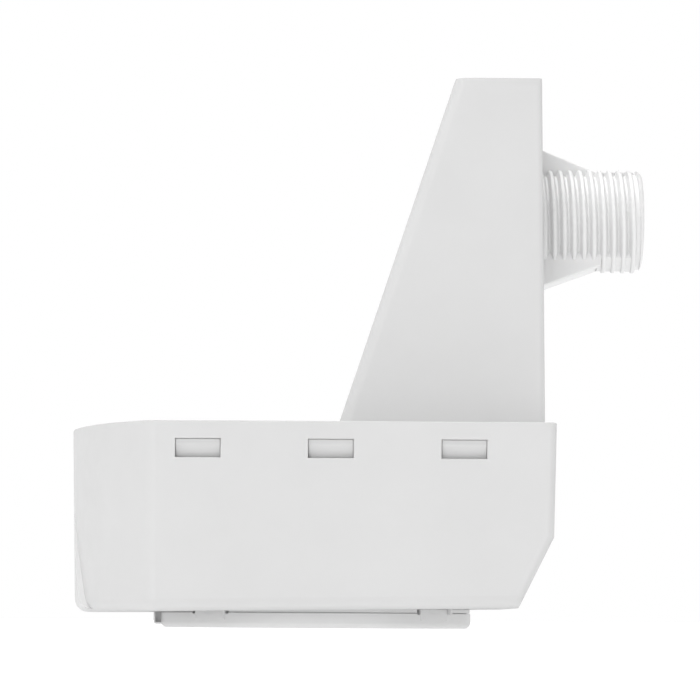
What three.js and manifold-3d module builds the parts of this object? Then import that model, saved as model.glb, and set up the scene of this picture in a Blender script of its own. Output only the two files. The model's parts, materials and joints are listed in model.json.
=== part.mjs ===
// Fixture-mount motion sensor: a shallow bow-fronted housing that looks down through a
// twist-lock lens, and a tapered riser that carries a threaded wiring nipple.
// Millimetres. +X points to the back, where the nipple is, and +Z points up.
// The origin is at the middle of the underside of the whole part.
import * as THREE from "three";
import { mergeVertices } from "three/addons/utils/BufferGeometryUtils.js";
import Module from "manifold-3d";

// ---------- driving dimensions ----------
const GAP = 0.3; // between pieces that touch
const WALL = 2.2; // moulded wall

const HOUSING = {
  frontX: -55.5,
  backX: 36.5,
  halfWidth: 42,
  bowRadius: 60.1,
  bottomZ: 3.8,
  topZ: 37.9,
  bottomEdge: 2, // round along the lower edge
  draft: 0.016, // share by which the underside is smaller than the rim
  tilt: 0.013, // the underside drops this much per millimetre towards the front
  tiltFromX: 24,
  chamfer: [
    [29.5, 3.8],
    [36.3, 17.4],
  ],
};
const WINDOW = { x: [-29.4, -5, 19.5], width: 8.3, lowZ: 31.15, highZ: 34.6 };
// Hooks on the cover that snap into the windows. Their faces lean in towards the foot.
const SNAP = { width: 7.9, stem: 1.6, stemLowZ: 31, topInset: 0.5, footInset: 1.7, lip: 0.4 };
// Raised pad low on the middle of the bow. It is level with the bow's foremost line.
const PAD = { radius: 131, backX: -47, topZ: 23.6, footHalf: 21.8, topHalf: 9.4, footRound: 2 };

const RISER = {
  footFrontX: -3.9,
  footBackX: 35.5,
  topFrontX: 18.4,
  topBackX: 35,
  topZ: 105.4,
  footHalfWidth: 22,
  topHalfWidth: 19,
  edge: 2, // round along the sloping edges
  wall: 2,
};
const PLATE_THICKNESS = 2.5;

const NIPPLE = {
  z: 80,
  startX: 35.6,
  threadX: 47,
  endX: 55.5,
  crestR: 10.1,
  rootR: 8.9,
  boreR: 7.75,
  pitch: 1.92,
  firstCrestX: 37.7,
  turns: 9,
  spigotR: 8.9,
};
const UPPER_WEB = { side: 1, thickness: 3.6, reach: 14, endReach: 9.3 };
const LOWER_WEB = { side: -1, thickness: 11.8, reach: 13.5, endReach: 9.1 };

const LENS = { x: -8, ringR: 30.25, openingR: 24, lipZ: 1.2 };
const SKIRT = { innerR: 25.8, outerR: 27.2, topZ: 7.4 };
const HOOK = { reachR: 29, lowZ: 6.3, width: 15, first: 47 };
const STOP = { innerR: 27.9, outerR: 29.9, thickness: 1.2, clear: 0.7, topZ: 7.6 };
const RECESS_R = 32.6; // shallow round recess that the ring turns in
const OPENING_R = 27.6; // round opening in the underside
const TWIST = 25; // degrees from locked to free

const SENSOR_BOARD_Z = 14;
const POWER_BOARD_Z = 19.2;
const BOARD_THICKNESS = 1.6;
const POSTS = [
  ["front_left", -34, -32],
  ["front_right", -34, 32],
  ["back_left", 22, -32],
  ["back_right", 22, 32],
];
const SCREW = { shaftR: 1.3, headR: 2.8, headHeight: 1.8, tipZ: 8.2 };

const white = { color: 0xf3f3f3, roughness: 0.45, metalness: 0 };
const FINISH = {
  shell: white,
  ring: { ...white, color: 0xeeeeee },
  lens: { color: 0xf4f4f1, roughness: 0.35, metalness: 0 },
  board: { color: 0x1f6b3a, roughness: 0.5, metalness: 0 },
  black: { color: 0x1c1c1e, roughness: 0.5, metalness: 0 },
  blue: { color: 0x2b62c4, roughness: 0.5, metalness: 0 },
  film: { color: 0xd8c24a, roughness: 0.5, metalness: 0 },
  red: { color: 0xc03028, roughness: 0.35, metalness: 0 },
  clear: { color: 0xe8f0f2, roughness: 0.15, metalness: 0 },
  steel: { color: 0xc4c7ca, roughness: 0.3, metalness: 1 },
  brass: { color: 0xcaa24c, roughness: 0.35, metalness: 1 },
  copper: { color: 0xb4633a, roughness: 0.4, metalness: 1 },
  ferrite: { color: 0x3a3b3d, roughness: 0.6, metalness: 0 },
};

// ---------- small tools ----------
const wasm = await Module();
wasm.setup();
const radians = THREE.MathUtils.degToRad;

function solidOf(geometry) {
  const bare = geometry.clone();
  bare.deleteAttribute("normal");
  bare.deleteAttribute("uv");
  const merged = mergeVertices(bare, 1e-4);
  return new wasm.Manifold(
    new wasm.Mesh({
      numProp: 3,
      vertProperties: merged.attributes.position.array,
      triVerts: new Uint32Array(merged.index.array),
    }),
  );
}

function geometryOf(solid) {
  const { vertProperties, triVerts } = solid.getMesh();
  const geometry = new THREE.BufferGeometry();
  geometry.setAttribute("position", new THREE.BufferAttribute(vertProperties, 3));
  geometry.setIndex(new THREE.BufferAttribute(triVerts, 1));
  geometry.computeVertexNormals();
  return geometry;
}

// A box between two corners.
function box(x0, x1, y0, y1, z0, z1) {
  const geometry = new THREE.BoxGeometry(x1 - x0, y1 - y0, z1 - z0);
  return solidOf(geometry.translate((x0 + x1) / 2, (y0 + y1) / 2, (z0 + z1) / 2));
}

// A box given by its middle and its size.
function block(x, y, length, width, z0, z1) {
  return box(x - length / 2, x + length / 2, y - width / 2, y + width / 2, z0, z1);
}

// A round bar that stands at x, y.
function bar(radius, x, y, z0, z1, segments = 16) {
  const geometry = new THREE.CylinderGeometry(radius, radius, z1 - z0, segments);
  return solidOf(geometry.rotateX(Math.PI / 2).translate(x, y, (z0 + z1) / 2));
}

function tube(outerR, innerR, x, y, z0, z1, segments = 16) {
  return bar(outerR, x, y, z0, z1, segments).subtract(
    bar(innerR, x, y, z0 - 1, z1 + 1, segments),
  );
}

// A turned outline, taken counterclockwise so that its faces point out. Points are [radius, height].
function lathe(points, segments) {
  const profile = points.map(([r, height]) => new THREE.Vector2(r, height));
  if (THREE.ShapeUtils.area(profile) < 0) profile.reverse();
  return new THREE.LatheGeometry(profile, segments);
}

// A closed outline turned about an upright axis at x, y. Points are [radius, z].
function turned(points, x, y, segments = 32) {
  return solidOf(lathe(points, segments).rotateX(Math.PI / 2).translate(x, y, 0));
}

// A closed outline with straight sides. Points are [u, v].
function outline(points) {
  return new THREE.Shape(points.map(([u, v]) => new THREE.Vector2(u, v)));
}

function extruded(shape, depth, edge = 0, curveSegments = 3) {
  return new THREE.ExtrudeGeometry(shape, {
    depth: depth - 2 * edge,
    bevelEnabled: edge > 0,
    bevelThickness: edge,
    bevelSize: edge,
    bevelOffset: -edge,
    bevelSegments: 2,
    curveSegments,
  }).translate(0, 0, edge);
}

// An outline in X and Z, pushed across the part's width.
function across(shape, y0, y1, edge = 0) {
  return extruded(shape, y1 - y0, edge).rotateX(Math.PI / 2).translate(0, y1, 0);
}

// Moves every point of a geometry by a rule.
function reshaped(geometry, rule) {
  const position = geometry.attributes.position;
  const point = new THREE.Vector3();
  for (let i = 0; i < position.count; i++) {
    rule(point.fromBufferAttribute(position, i));
    position.setXYZ(i, point.x, point.y, point.z);
  }
  return geometry;
}

// Joins the copies of a solid turned about the lens axis by the angles given.
function aroundLens(solid, degrees) {
  const copies = degrees.map((angle) =>
    solid.translate([-LENS.x, 0, 0]).rotate([0, 0, angle]).translate([LENS.x, 0, 0]),
  );
  return copies.reduce((all, copy) => all.add(copy));
}

// ---------- housing ----------
function housingPlan(inset) {
  const { frontX, backX, halfWidth, bowRadius } = HOUSING;
  const radius = bowRadius - inset;
  const half = halfWidth - inset;
  const centreX = frontX + bowRadius;
  const end = Math.asin(half / radius);
  const corner = Math.max(3 - inset, 0.5);
  const back = backX - inset;
  const shape = new THREE.Shape();
  shape.moveTo(back - corner, -half);
  shape.quadraticCurveTo(back, -half, back, -half + corner);
  shape.lineTo(back, half - corner);
  shape.quadraticCurveTo(back, half, back - corner, half);
  shape.lineTo(centreX - radius * Math.cos(end), half);
  shape.absarc(centreX, 0, radius, Math.PI - end, Math.PI + end, false);
  return shape;
}

// What the sloping face takes off the lower back edge.
function belowChamfer(inset) {
  const [[x0, z0], [x1, z1]] = HOUSING.chamfer;
  const along = new THREE.Vector2(x1 - x0, z1 - z0).normalize();
  const dx = -along.y * inset;
  const dz = along.x * inset;
  const outside = HOUSING.backX + 10;
  const lowX = x0 + dx - along.x * 10;
  const lowZ = z0 + dz - along.y * 10;
  const corners = [
    [lowX, lowZ],
    [outside, lowZ],
    [outside, z1 + dz],
    [x1 + dx, z1 + dz],
  ];
  return solidOf(across(outline(corners), -60, 60));
}

// How much smaller the housing is at a height than at its rim.
function draftShare(z) {
  const { topZ, bottomZ, draft } = HOUSING;
  return 1 - (draft * (topZ - z)) / (topZ - bottomZ);
}

const MIDDLE_X = (HOUSING.frontX + HOUSING.backX) / 2;

function draftedPlan(inset, lowZ, highZ, edge) {
  const plan = extruded(housingPlan(inset), highZ - lowZ, edge, 14).translate(0, 0, lowZ);
  return reshaped(plan, (point) => {
    const share = draftShare(point.z);
    point.x = MIDDLE_X + (point.x - MIDDLE_X) * share;
    point.y *= share;
  });
}

function housingBody(inset, lowZ, highZ, edge) {
  return solidOf(draftedPlan(inset, lowZ, highZ, edge)).subtract(belowChamfer(inset));
}

function frontPad() {
  const { radius, backX, topZ, footHalf, topHalf, footRound } = PAD;
  const { frontX, bottomZ } = HOUSING;
  const lowZ = bottomZ - 2;
  const plan = new THREE.Shape();
  const end = Math.asin(footHalf / radius);
  plan.moveTo(backX, footHalf);
  plan.absarc(frontX + radius, 0, radius, Math.PI - end, Math.PI + end, false);
  plan.lineTo(backX, -footHalf);
  const curved = extruded(plan, topZ - lowZ, 0, 10).translate(0, 0, lowZ);
  const drafted = reshaped(curved, (point) => {
    point.x = MIDDLE_X + (point.x - MIDDLE_X) * draftShare(point.z);
  });
  const arch = outline([
    [footHalf, lowZ],
    [topHalf, topZ - 1],
    [topHalf - 1.5, topZ],
    [1.5 - topHalf, topZ],
    [-topHalf, topZ - 1],
    [-footHalf, lowZ],
  ]);
  const front = extruded(arch, 20).rotateX(Math.PI / 2).rotateZ(Math.PI / 2).translate(-60, 0, 0);
  return solidOf(drafted).intersect(solidOf(front)).subtract(belowPad(footRound));
}

// What the tilted underside takes off the pad's foot.
function belowPad(round) {
  const { frontX, bottomZ, tilt, tiltFromX } = HOUSING;
  const lowZ = bottomZ - tilt * (tiltFromX - frontX);
  const frontAt = MIDDLE_X + (frontX - MIDDLE_X) * draftShare(lowZ);
  const corners = [
    [frontX - 5, lowZ - 5],
    [-40, lowZ - 5],
    [-40, lowZ + 0.2],
    [frontAt + round, lowZ + 0.02],
    [frontAt - 0.2, lowZ + round],
    [frontX - 5, lowZ + round],
  ];
  return solidOf(across(outline(corners), -40, 40));
}

// Lets the underside of a body drop towards the front, while its rim stays level.
function tilted(inset, lowZ, highZ, edge) {
  const { topZ, bottomZ, tilt, tiltFromX } = HOUSING;
  const plan = draftedPlan(inset, lowZ, highZ, edge);
  const dropped = reshaped(plan, (point) => {
    const lowness = (topZ - point.z) / (topZ - bottomZ);
    point.z -= tilt * (tiltFromX - point.x) * lowness;
  });
  return solidOf(dropped).subtract(belowChamfer(inset));
}

function frontHousing() {
  const { bottomZ, topZ, bottomEdge } = HOUSING;
  const above = topZ + 20;
  const floorZ = bottomZ + WALL;
  const outside = tilted(0, bottomZ, above, bottomEdge).add(frontPad());
  const inside = tilted(WALL, floorZ, above - 1, 0);
  let shell = outside.subtract(inside).subtract(box(-70, 70, -50, 50, topZ, above + 1));
  shell = shell.subtract(bar(OPENING_R, LENS.x, 0, 0, floorZ + 1, 64));
  shell = shell.subtract(bar(RECESS_R, LENS.x, 0, 0, bottomZ, 64));
  for (const x of WINDOW.x)
    shell = shell.subtract(block(x, 0, WINDOW.width, 100, WINDOW.lowZ, WINDOW.highZ));
  for (const [, x, y] of POSTS) {
    const post = bar(3.2, x, y, floorZ - 1.3, SENSOR_BOARD_Z - GAP);
    shell = shell.add(post).subtract(bar(1.6, x, y, SCREW.tipZ - 1, SENSOR_BOARD_Z));
  }
  return shell.subtract(hookNotches()).add(hookStops());
}

// Gaps in the edge of the opening that let the hooks of the ring in when it is turned free.
function hookNotches() {
  const notch = box(LENS.x + 20, LENS.x + HOOK.reachR + 0.5, -4.4, 4.4, 0, 7);
  const ring = tube(HOOK.reachR + 0.5, OPENING_R - 0.5, LENS.x, 0, 0, 7, 64);
  return aroundLens(notch, quarterTurns(HOOK.first + TWIST)).intersect(ring);
}

// Ribs on the floor that stop the hooks at the locked end.
function hookStops() {
  const { innerR, outerR, thickness, clear, topZ } = STOP;
  const nearY = -radians(HOOK.width / 2) * HOOK.reachR - clear;
  const floorZ = HOUSING.bottomZ + WALL;
  const stop = box(LENS.x + innerR, LENS.x + outerR, nearY - thickness, nearY, floorZ - 1.3, topZ);
  return aroundLens(stop, quarterTurns(HOOK.first));
}

function quarterTurns(first) {
  return [0, 90, 180, 270].map((turn) => first + turn);
}

// ---------- riser and cover ----------
function riserForm(inset, lowZ) {
  const r = RISER;
  const slope = (r.topFrontX - r.footFrontX) / (r.topZ - HOUSING.topZ);
  const frontAt = (z) => r.footFrontX + slope * (z - HOUSING.topZ) + inset * 1.05;
  const top = r.topZ - inset;
  const corners = [
    [frontAt(lowZ), lowZ],
    [r.footBackX - inset, lowZ],
    [r.topBackX - inset, top],
    [frontAt(top), top],
  ];
  const half = r.footHalfWidth - inset;
  const edge = inset ? 0 : r.edge;
  const form = across(outline(corners), -half, half, edge);
  const narrowing = 1 - r.topHalfWidth / r.footHalfWidth;
  return reshaped(form, (point) => {
    const height = (point.z - HOUSING.topZ) / (r.topZ - HOUSING.topZ);
    point.y *= 1 - narrowing * height;
  });
}

function snapTab(x, side) {
  const { width, stem, stemLowZ, topInset, footInset, lip } = SNAP;
  const wallInside = HOUSING.halfWidth - WALL - GAP;
  const rootY = wallInside - 2;
  const faceTop = HOUSING.halfWidth - topInset;
  const lowZ = WINDOW.lowZ + GAP;
  const highZ = WINDOW.highZ - GAP;
  const leg = block(x, side * (wallInside - 1.4), width, stem, stemLowZ, HOUSING.topZ - 1);
  const face = outline([
    [rootY, lowZ],
    [HOUSING.halfWidth - footInset, lowZ],
    [faceTop, highZ - lip],
    [faceTop, highZ],
    [rootY, highZ],
  ]);
  const wedge = across(face, -width / 2, width / 2).rotateZ((side * Math.PI) / 2);
  return leg.add(solidOf(wedge.translate(x, 0, 0)));
}

// The back wall of the riser stands a little over the rim, so it starts just above it.
function riserCover() {
  const { topZ } = HOUSING;
  const plateZ = topZ - PLATE_THICKNESS;
  const plateInset = WALL + GAP;
  const foot = housingBody(plateInset, plateZ, topZ + 1, 0).intersect(solidOf(riserForm(0, plateZ)));
  let cover = housingBody(plateInset, plateZ, topZ, 0).add(foot);
  cover = cover.add(solidOf(riserForm(0, topZ + GAP)));
  for (const x of WINDOW.x)
    for (const side of [-1, 1]) cover = cover.add(snapTab(x, side));
  cover = cover.subtract(solidOf(riserForm(RISER.wall, plateZ - 1)));
  return cover.subtract(alongNipple(NIPPLE.spigotR + GAP, 30, 37));
}

// ---------- nipple ----------
function alongNipple(radius, x0, x1, segments = 24) {
  const geometry = new THREE.CylinderGeometry(radius, radius, x1 - x0, segments);
  return solidOf(geometry.rotateZ(-Math.PI / 2).translate((x0 + x1) / 2, 0, NIPPLE.z));
}

function gusset({ side, thickness, reach, endReach }) {
  const { startX, threadX, z, rootR } = NIPPLE;
  const inner = z + side * (rootR - 0.8);
  const corners = [
    [startX, inner],
    [startX, z + side * reach],
    [threadX, z + side * endReach],
    [threadX, inner],
  ];
  if (side > 0) corners.reverse();
  return solidOf(across(outline(corners), -thickness / 2, thickness / 2));
}

function wiringNipple() {
  const { startX, endX, crestR, rootR, boreR, pitch, firstCrestX, turns, spigotR, z } = NIPPLE;
  const spigotX = startX - RISER.wall - 0.1;
  const profile = [
    [boreR, endX],
    [boreR, spigotX],
    [spigotR, spigotX],
    [spigotR, startX],
    [rootR, startX],
  ];
  for (let i = 0; i < turns; i++) {
    const crestX = firstCrestX + i * pitch;
    profile.push([rootR, crestX - pitch / 2], [crestR, crestX]);
  }
  const lastRootX = firstCrestX + (turns - 0.5) * pitch;
  profile.push([rootR, lastRootX], [rootR, endX - 0.6], [rootR - 0.4, endX], [boreR, endX]);
  const body = solidOf(lathe(profile, 24).rotateZ(-Math.PI / 2).translate(0, 0, z));
  const webs = gusset(UPPER_WEB).add(gusset(LOWER_WEB));
  return body.add(webs.subtract(alongNipple(boreR, startX - 2, endX)));
}

// ---------- lens and its ring ----------
function lensRing() {
  const { ringR, openingR, lipZ, x } = LENS;
  const { innerR, outerR, topZ } = SKIRT;
  const profile = [
    [openingR, 0],
    [ringR - 1, 0],
    [ringR, 1],
    [ringR, 3],
    [ringR - 0.9, 3],
    [ringR - 0.9, 3.3],
    [ringR - 0.4, 3.3],
    [ringR - 0.4, 3.5],
    [outerR, 3.5],
    [outerR, topZ],
    [innerR, topZ],
    [innerR, lipZ],
    [openingR, lipZ],
    [openingR, 0],
  ];
  const lug = box(x + 27.5, x + ringR - 0.1, -3.6, 3.6, 2.5, 3.5);
  const halfHook = radians(HOOK.width / 2) * HOOK.reachR;
  const hook = box(x + 26.6, x + HOOK.reachR, -halfHook, halfHook, HOOK.lowZ, topZ);
  const hookRing = tube(HOOK.reachR, 26.4, x, 0, HOOK.lowZ - 1, topZ + 1, 64);
  const tab = box(x - ringR - 1.6, x - ringR + 1, -4.5, 4.5, 0.5, 3.5);
  return turned(profile, x, 0, 48)
    .add(aroundLens(lug, quarterTurns(HOOK.first)))
    .add(aroundLens(hook, quarterTurns(HOOK.first)).intersect(hookRing))
    .add(tab);
}

function fresnelLens() {
  const flangeR = SKIRT.innerR - GAP;
  const domeR = LENS.openingR - GAP;
  const flangeZ = LENS.lipZ + GAP;
  const points = [[0, 1.6]];
  points.push([flangeR - 3, 2.4], [flangeR, 2.4], [flangeR, flangeZ], [domeR, flangeZ]);
  const steps = 5;
  for (let i = 0; i <= steps; i++) {
    const share = 1 - i / steps;
    points.push([domeR * share, 0.45 + 0.75 * share * share]);
  }
  return turned(points, LENS.x, 0, 40);
}

// ---------- boards and what they carry ----------
function board(z) {
  let plate = housingBody(5, z, z + BOARD_THICKNESS, 0);
  plate = plate.intersect(box(-44, 29, -38, 38, z - 1, z + 3));
  for (const [, x, y] of POSTS) plate = plate.subtract(bar(1.7, x, y, z - 1, z + 3));
  return plate;
}

function spacer(x, y) {
  const low = SENSOR_BOARD_Z + BOARD_THICKNESS + GAP;
  return tube(2.8, 1.7, x, y, low, POWER_BOARD_Z - GAP);
}

function screw(x, y) {
  const headZ = POWER_BOARD_Z + BOARD_THICKNESS + GAP;
  const topZ = headZ + SCREW.headHeight;
  const shank = bar(SCREW.shaftR, x, y, SCREW.tipZ, topZ - 1, 12);
  const head = bar(SCREW.headR, x, y, headZ, topZ, 16);
  const slot = block(x, y, 3.4, 0.7, topZ - 0.9, topZ + 1);
  const cross = slot.add(block(x, y, 0.7, 3.4, topZ - 0.9, topZ + 1));
  return shank.add(head).subtract(cross);
}

const UNDER = SENSOR_BOARD_Z - GAP; // where parts under the sensor board start
const OVER = POWER_BOARD_Z + BOARD_THICKNESS + GAP; // where parts on the power board start

const CONTROL = {
  dip: [-8, 14.5],
  timeDial: [-21.5, 5],
  lightDial: [5.5, 5],
  button: [-8, -14],
  led: [3, -9],
  photocell: [-19, -9],
};

function controlPlate() {
  const { dip, timeDial, lightDial, button, led, photocell } = CONTROL;
  let plate = bar(24.8, LENS.x, 0, 8, 9, 32);
  for (const angle of [30, 150, 270]) {
    const x = LENS.x + 22.6 * Math.cos(radians(angle));
    const y = 22.6 * Math.sin(radians(angle));
    plate = plate.add(bar(1.4, x, y, 8.5, UNDER, 12));
  }
  return plate
    .subtract(bar(6.4, LENS.x, 0, 7, 10, 32))
    .subtract(block(...dip, 11, 7, 7, 10))
    .subtract(bar(2.6, ...timeDial, 7, 10))
    .subtract(bar(2.6, ...lightDial, 7, 10))
    .subtract(bar(2.4, ...button, 7, 10))
    .subtract(bar(2, ...led, 7, 10))
    .subtract(bar(3.6, ...photocell, 7, 10));
}

function pirCan() {
  const points = [
    [0, UNDER],
    [4.6, UNDER],
    [4.6, UNDER - 0.5],
    [4.15, UNDER - 0.5],
    [4.15, 9.5],
    [2.9, 9.5],
    [2.9, 9.9],
    [0, 9.9],
  ];
  return turned(points, LENS.x, 0, 24);
}

const DIP_PITCH = 2.54;
const DIP_TRAVEL = 1.6;
const dipX = (i) => CONTROL.dip[0] + (i - 1.5) * DIP_PITCH;

function dipBody() {
  const [x, y] = CONTROL.dip;
  let body = block(x, y, 10.4, 6.2, 9.5, UNDER);
  for (let i = 0; i < 4; i++)
    body = body.subtract(block(dipX(i), y, 1.8, 1.3 + DIP_TRAVEL + 2 * GAP, 9, 11.3));
  return body;
}

function dipSlider(i) {
  const y = CONTROL.dip[1] - DIP_TRAVEL / 2;
  return block(dipX(i), y, 1.2, 1.3, 8.7, 11);
}

function dialBase([x, y]) {
  return block(x, y, 6.6, 6.8, 10.3, UNDER).subtract(bar(2.3, x, y, 9, 11.9));
}

function dialRotor([x, y]) {
  return bar(2, x, y, 9.2, 11.6).subtract(block(x, y, 5, 0.7, 9, 9.9));
}

const BUTTON_TRAVEL = 0.4;

function buttonBase() {
  const [x, y] = CONTROL.button;
  const hollow = bar(2, x, y, 9, 11.3 + BUTTON_TRAVEL + GAP);
  return block(x, y, 6, 6, 10.3, UNDER).subtract(hollow);
}

function buttonPlunger() {
  return bar(1.7, ...CONTROL.button, 8.7, 11.3);
}

function indicatorLed() {
  const points = [
    [0, UNDER],
    [1.9, UNDER],
    [1.9, 12.7],
    [1.5, 12.7],
    [1.5, 9.6],
    [1.1, 8.9],
    [0, 8.5],
  ];
  return turned(points, ...CONTROL.led, 16);
}

// ---------- relay ----------
const RELAY = { x0: 1.5, x1: 30.5, half: 6.4, topZ: 36.8, baseZ: OVER };
const ARMATURE = { pivotX: 19.5, pivotZ: 34.2 };

function relayCase() {
  const { x0, x1, half, topZ, baseZ } = RELAY;
  const outside = box(x0, x1, -half, half, baseZ + 1.6 + GAP, topZ);
  return outside.subtract(box(x0 + 0.9, x1 - 0.9, 0.9 - half, half - 0.9, baseZ, topZ - 0.9));
}

function relayBase() {
  const { x0, x1, half, baseZ } = RELAY;
  const plug = box(x0 + 1.2, x1 - 1.2, 1.2 - half, half - 1.2, baseZ + 1, baseZ + 2.6);
  return box(x0, x1, -half, half, baseZ, baseZ + 1.6).add(plug);
}

function relayYoke() {
  const lowZ = RELAY.baseZ + 2.6 + GAP;
  const leg = box(ARMATURE.pivotX, ARMATURE.pivotX + 1.3, -4, 4, lowZ, ARMATURE.pivotZ - 0.9);
  const foot = box(5, ARMATURE.pivotX + 1, -4, 4, lowZ, lowZ + 1.2);
  const core = bar(2, 11.5, 0, lowZ + 0.5, ARMATURE.pivotZ - 1.9, 16);
  return leg.add(foot).add(core);
}

function relayCoil() {
  const lowZ = RELAY.baseZ + 2.6 + GAP + 1.2 + GAP;
  const highZ = ARMATURE.pivotZ - 2.3;
  const points = [
    [2.3, lowZ],
    [5, lowZ],
    [5, lowZ + 0.8],
    [4.4, lowZ + 0.8],
    [4.4, highZ - 0.8],
    [5, highZ - 0.8],
    [5, highZ],
    [2.3, highZ],
    [2.3, lowZ],
  ];
  return turned(points, 11.5, 0, 24);
}

// The plate that the coil pulls down; its tail pushes the contact blade.
function relayArmature() {
  const { pivotX, pivotZ } = ARMATURE;
  const plate = box(6.5, pivotX + 1.4, -3.8, 3.8, pivotZ - 0.6, pivotZ + 0.6);
  const tail = box(pivotX + 1.7, pivotX + 2.7, -2.5, 2.5, pivotZ - 5, pivotZ + 0.6);
  return plate.add(box(pivotX, pivotX + 2.7, -2.5, 2.5, pivotZ - 0.6, pivotZ + 0.6)).add(tail);
}

function contactBlade(x, tipSide) {
  const lowZ = RELAY.baseZ + 2.6 + GAP;
  const blade = box(x, x + 0.6, -2, 2, lowZ, 31);
  const geometry = new THREE.CylinderGeometry(1.2, 1.2, 0.8, 12);
  const tipX = x + 0.3 + tipSide * 0.5;
  return blade.add(solidOf(geometry.rotateZ(Math.PI / 2).translate(tipX, 0, 29)));
}

// ---------- power parts ----------
function filmCapacitor() {
  return block(-22, 20, 18, 8.5, OVER, OVER + 13.4);
}

function bulkCapacitor() {
  const r = 5;
  const points = [
    [0, OVER],
    [r, OVER],
    [r, OVER + 1.2],
    [r - 0.4, OVER + 1.7],
    [r, OVER + 2.2],
    [r, OVER + 12],
    [0, OVER + 12],
  ];
  return turned(points, -24, 4, 20);
}

function varistor() {
  const disc = new THREE.CylinderGeometry(5, 5, 4, 20).translate(-10, -24, OVER + 6.2);
  const foot = block(-10, -24, 6, 2, OVER, OVER + 3);
  return solidOf(disc).add(foot);
}

function inductor() {
  const points = [
    [0, OVER],
    [5, OVER],
    [5, OVER + 1.5],
    [4.3, OVER + 2],
    [4.3, OVER + 8.5],
    [5, OVER + 9],
    [5, OVER + 10.5],
    [0, OVER + 10.5],
  ];
  return turned(points, -26, -10, 20);
}

function leadTab(y) {
  const blade = block(22, y, 6.3, 0.8, OVER, OVER + 9);
  return blade.subtract(
    solidOf(new THREE.CylinderGeometry(0.9, 0.9, 4, 10).translate(22, y, OVER + 6)),
  );
}

function boardHeader() {
  const low = SENSOR_BOARD_Z + BOARD_THICKNESS + GAP;
  return block(-36, 0, 2.6, 15.2, low, POWER_BOARD_Z - GAP);
}

// ---------- assembly ----------
const part = new THREE.Group();
part.name = "motion_sensor";

function add(name, finish, solid) {
  const mesh = new THREE.Mesh(geometryOf(solid), new THREE.MeshStandardMaterial(finish));
  mesh.name = name;
  part.add(mesh);
}

add("front_housing", FINISH.shell, frontHousing());
add("riser_cover", FINISH.shell, riserCover());
add("wiring_nipple", FINISH.shell, wiringNipple());
add("lens_ring", FINISH.ring, lensRing());
add("fresnel_lens", FINISH.lens, fresnelLens());

add("control_plate", FINISH.shell, controlPlate());
add("sensor_board", FINISH.board, board(SENSOR_BOARD_Z));
add("power_board", FINISH.board, board(POWER_BOARD_Z));
for (const [corner, x, y] of POSTS) {
  add("board_spacer_" + corner, FINISH.black, spacer(x, y));
  add("board_screw_" + corner, FINISH.steel, screw(x, y));
}
add("board_header", FINISH.black, boardHeader());

add("pir_can", FINISH.steel, pirCan());
add("pir_filter", FINISH.black, bar(2.6, LENS.x, 0, 9.2, 9.6, 20));
add("pir_holder", FINISH.black, tube(6, 4.9, LENS.x, 0, 10.6, UNDER, 24));
add("photocell", FINISH.clear, bar(2.5, ...CONTROL.photocell, 11.4, UNDER));
add("photocell_shroud", FINISH.black, tube(3.3, 2.8, ...CONTROL.photocell, 8.4, UNDER, 20));
add("indicator_led", FINISH.red, indicatorLed());
add("setup_button_base", FINISH.black, buttonBase());
add("setup_button", FINISH.black, buttonPlunger());
add("dip_switch_body", FINISH.red, dipBody());
for (let i = 0; i < 4; i++) add("dip_slider_" + (i + 1), FINISH.shell, dipSlider(i));
add("time_dial_base", FINISH.blue, dialBase(CONTROL.timeDial));
add("time_dial", FINISH.shell, dialRotor(CONTROL.timeDial));
add("light_dial_base", FINISH.blue, dialBase(CONTROL.lightDial));
add("light_dial", FINISH.shell, dialRotor(CONTROL.lightDial));

add("relay_case", FINISH.black, relayCase());
add("relay_base", FINISH.black, relayBase());
add("relay_yoke", FINISH.steel, relayYoke());
add("relay_coil", FINISH.copper, relayCoil());
add("relay_armature", FINISH.steel, relayArmature());
add("moving_contact_blade", FINISH.brass, contactBlade(23.4, 1));
add("fixed_contact_blade", FINISH.brass, contactBlade(26.4, -1));

add("line_capacitor", FINISH.film, filmCapacitor());
add("bulk_capacitor", FINISH.black, bulkCapacitor());
add("surge_varistor", FINISH.blue, varistor());
add("power_inductor", FINISH.ferrite, inductor());
add("line_fuse", FINISH.black, bar(4.2, -30, -20, OVER, OVER + 8, 20));
add("bridge_rectifier", FINISH.black, block(-13, 4, 8, 6.4, OVER, OVER + 3));
add("line_tab", FINISH.brass, leadTab(14));
add("neutral_tab", FINISH.brass, leadTab(20));
add("load_tab", FINISH.brass, leadTab(-14));

export default part;
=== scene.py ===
# %% [markdown]
# # A fixture-mount motion sensor
# This white box hangs from a light fitting by its threaded nipple and looks down through a
# round lens. We load the measured frame first. Every piece that we model afterwards takes its
# place from that frame, so nothing has to be moved to fit at the end.

# %% Load the frame
import json
import math

import bmesh
import bpy
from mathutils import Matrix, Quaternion, Vector


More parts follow.
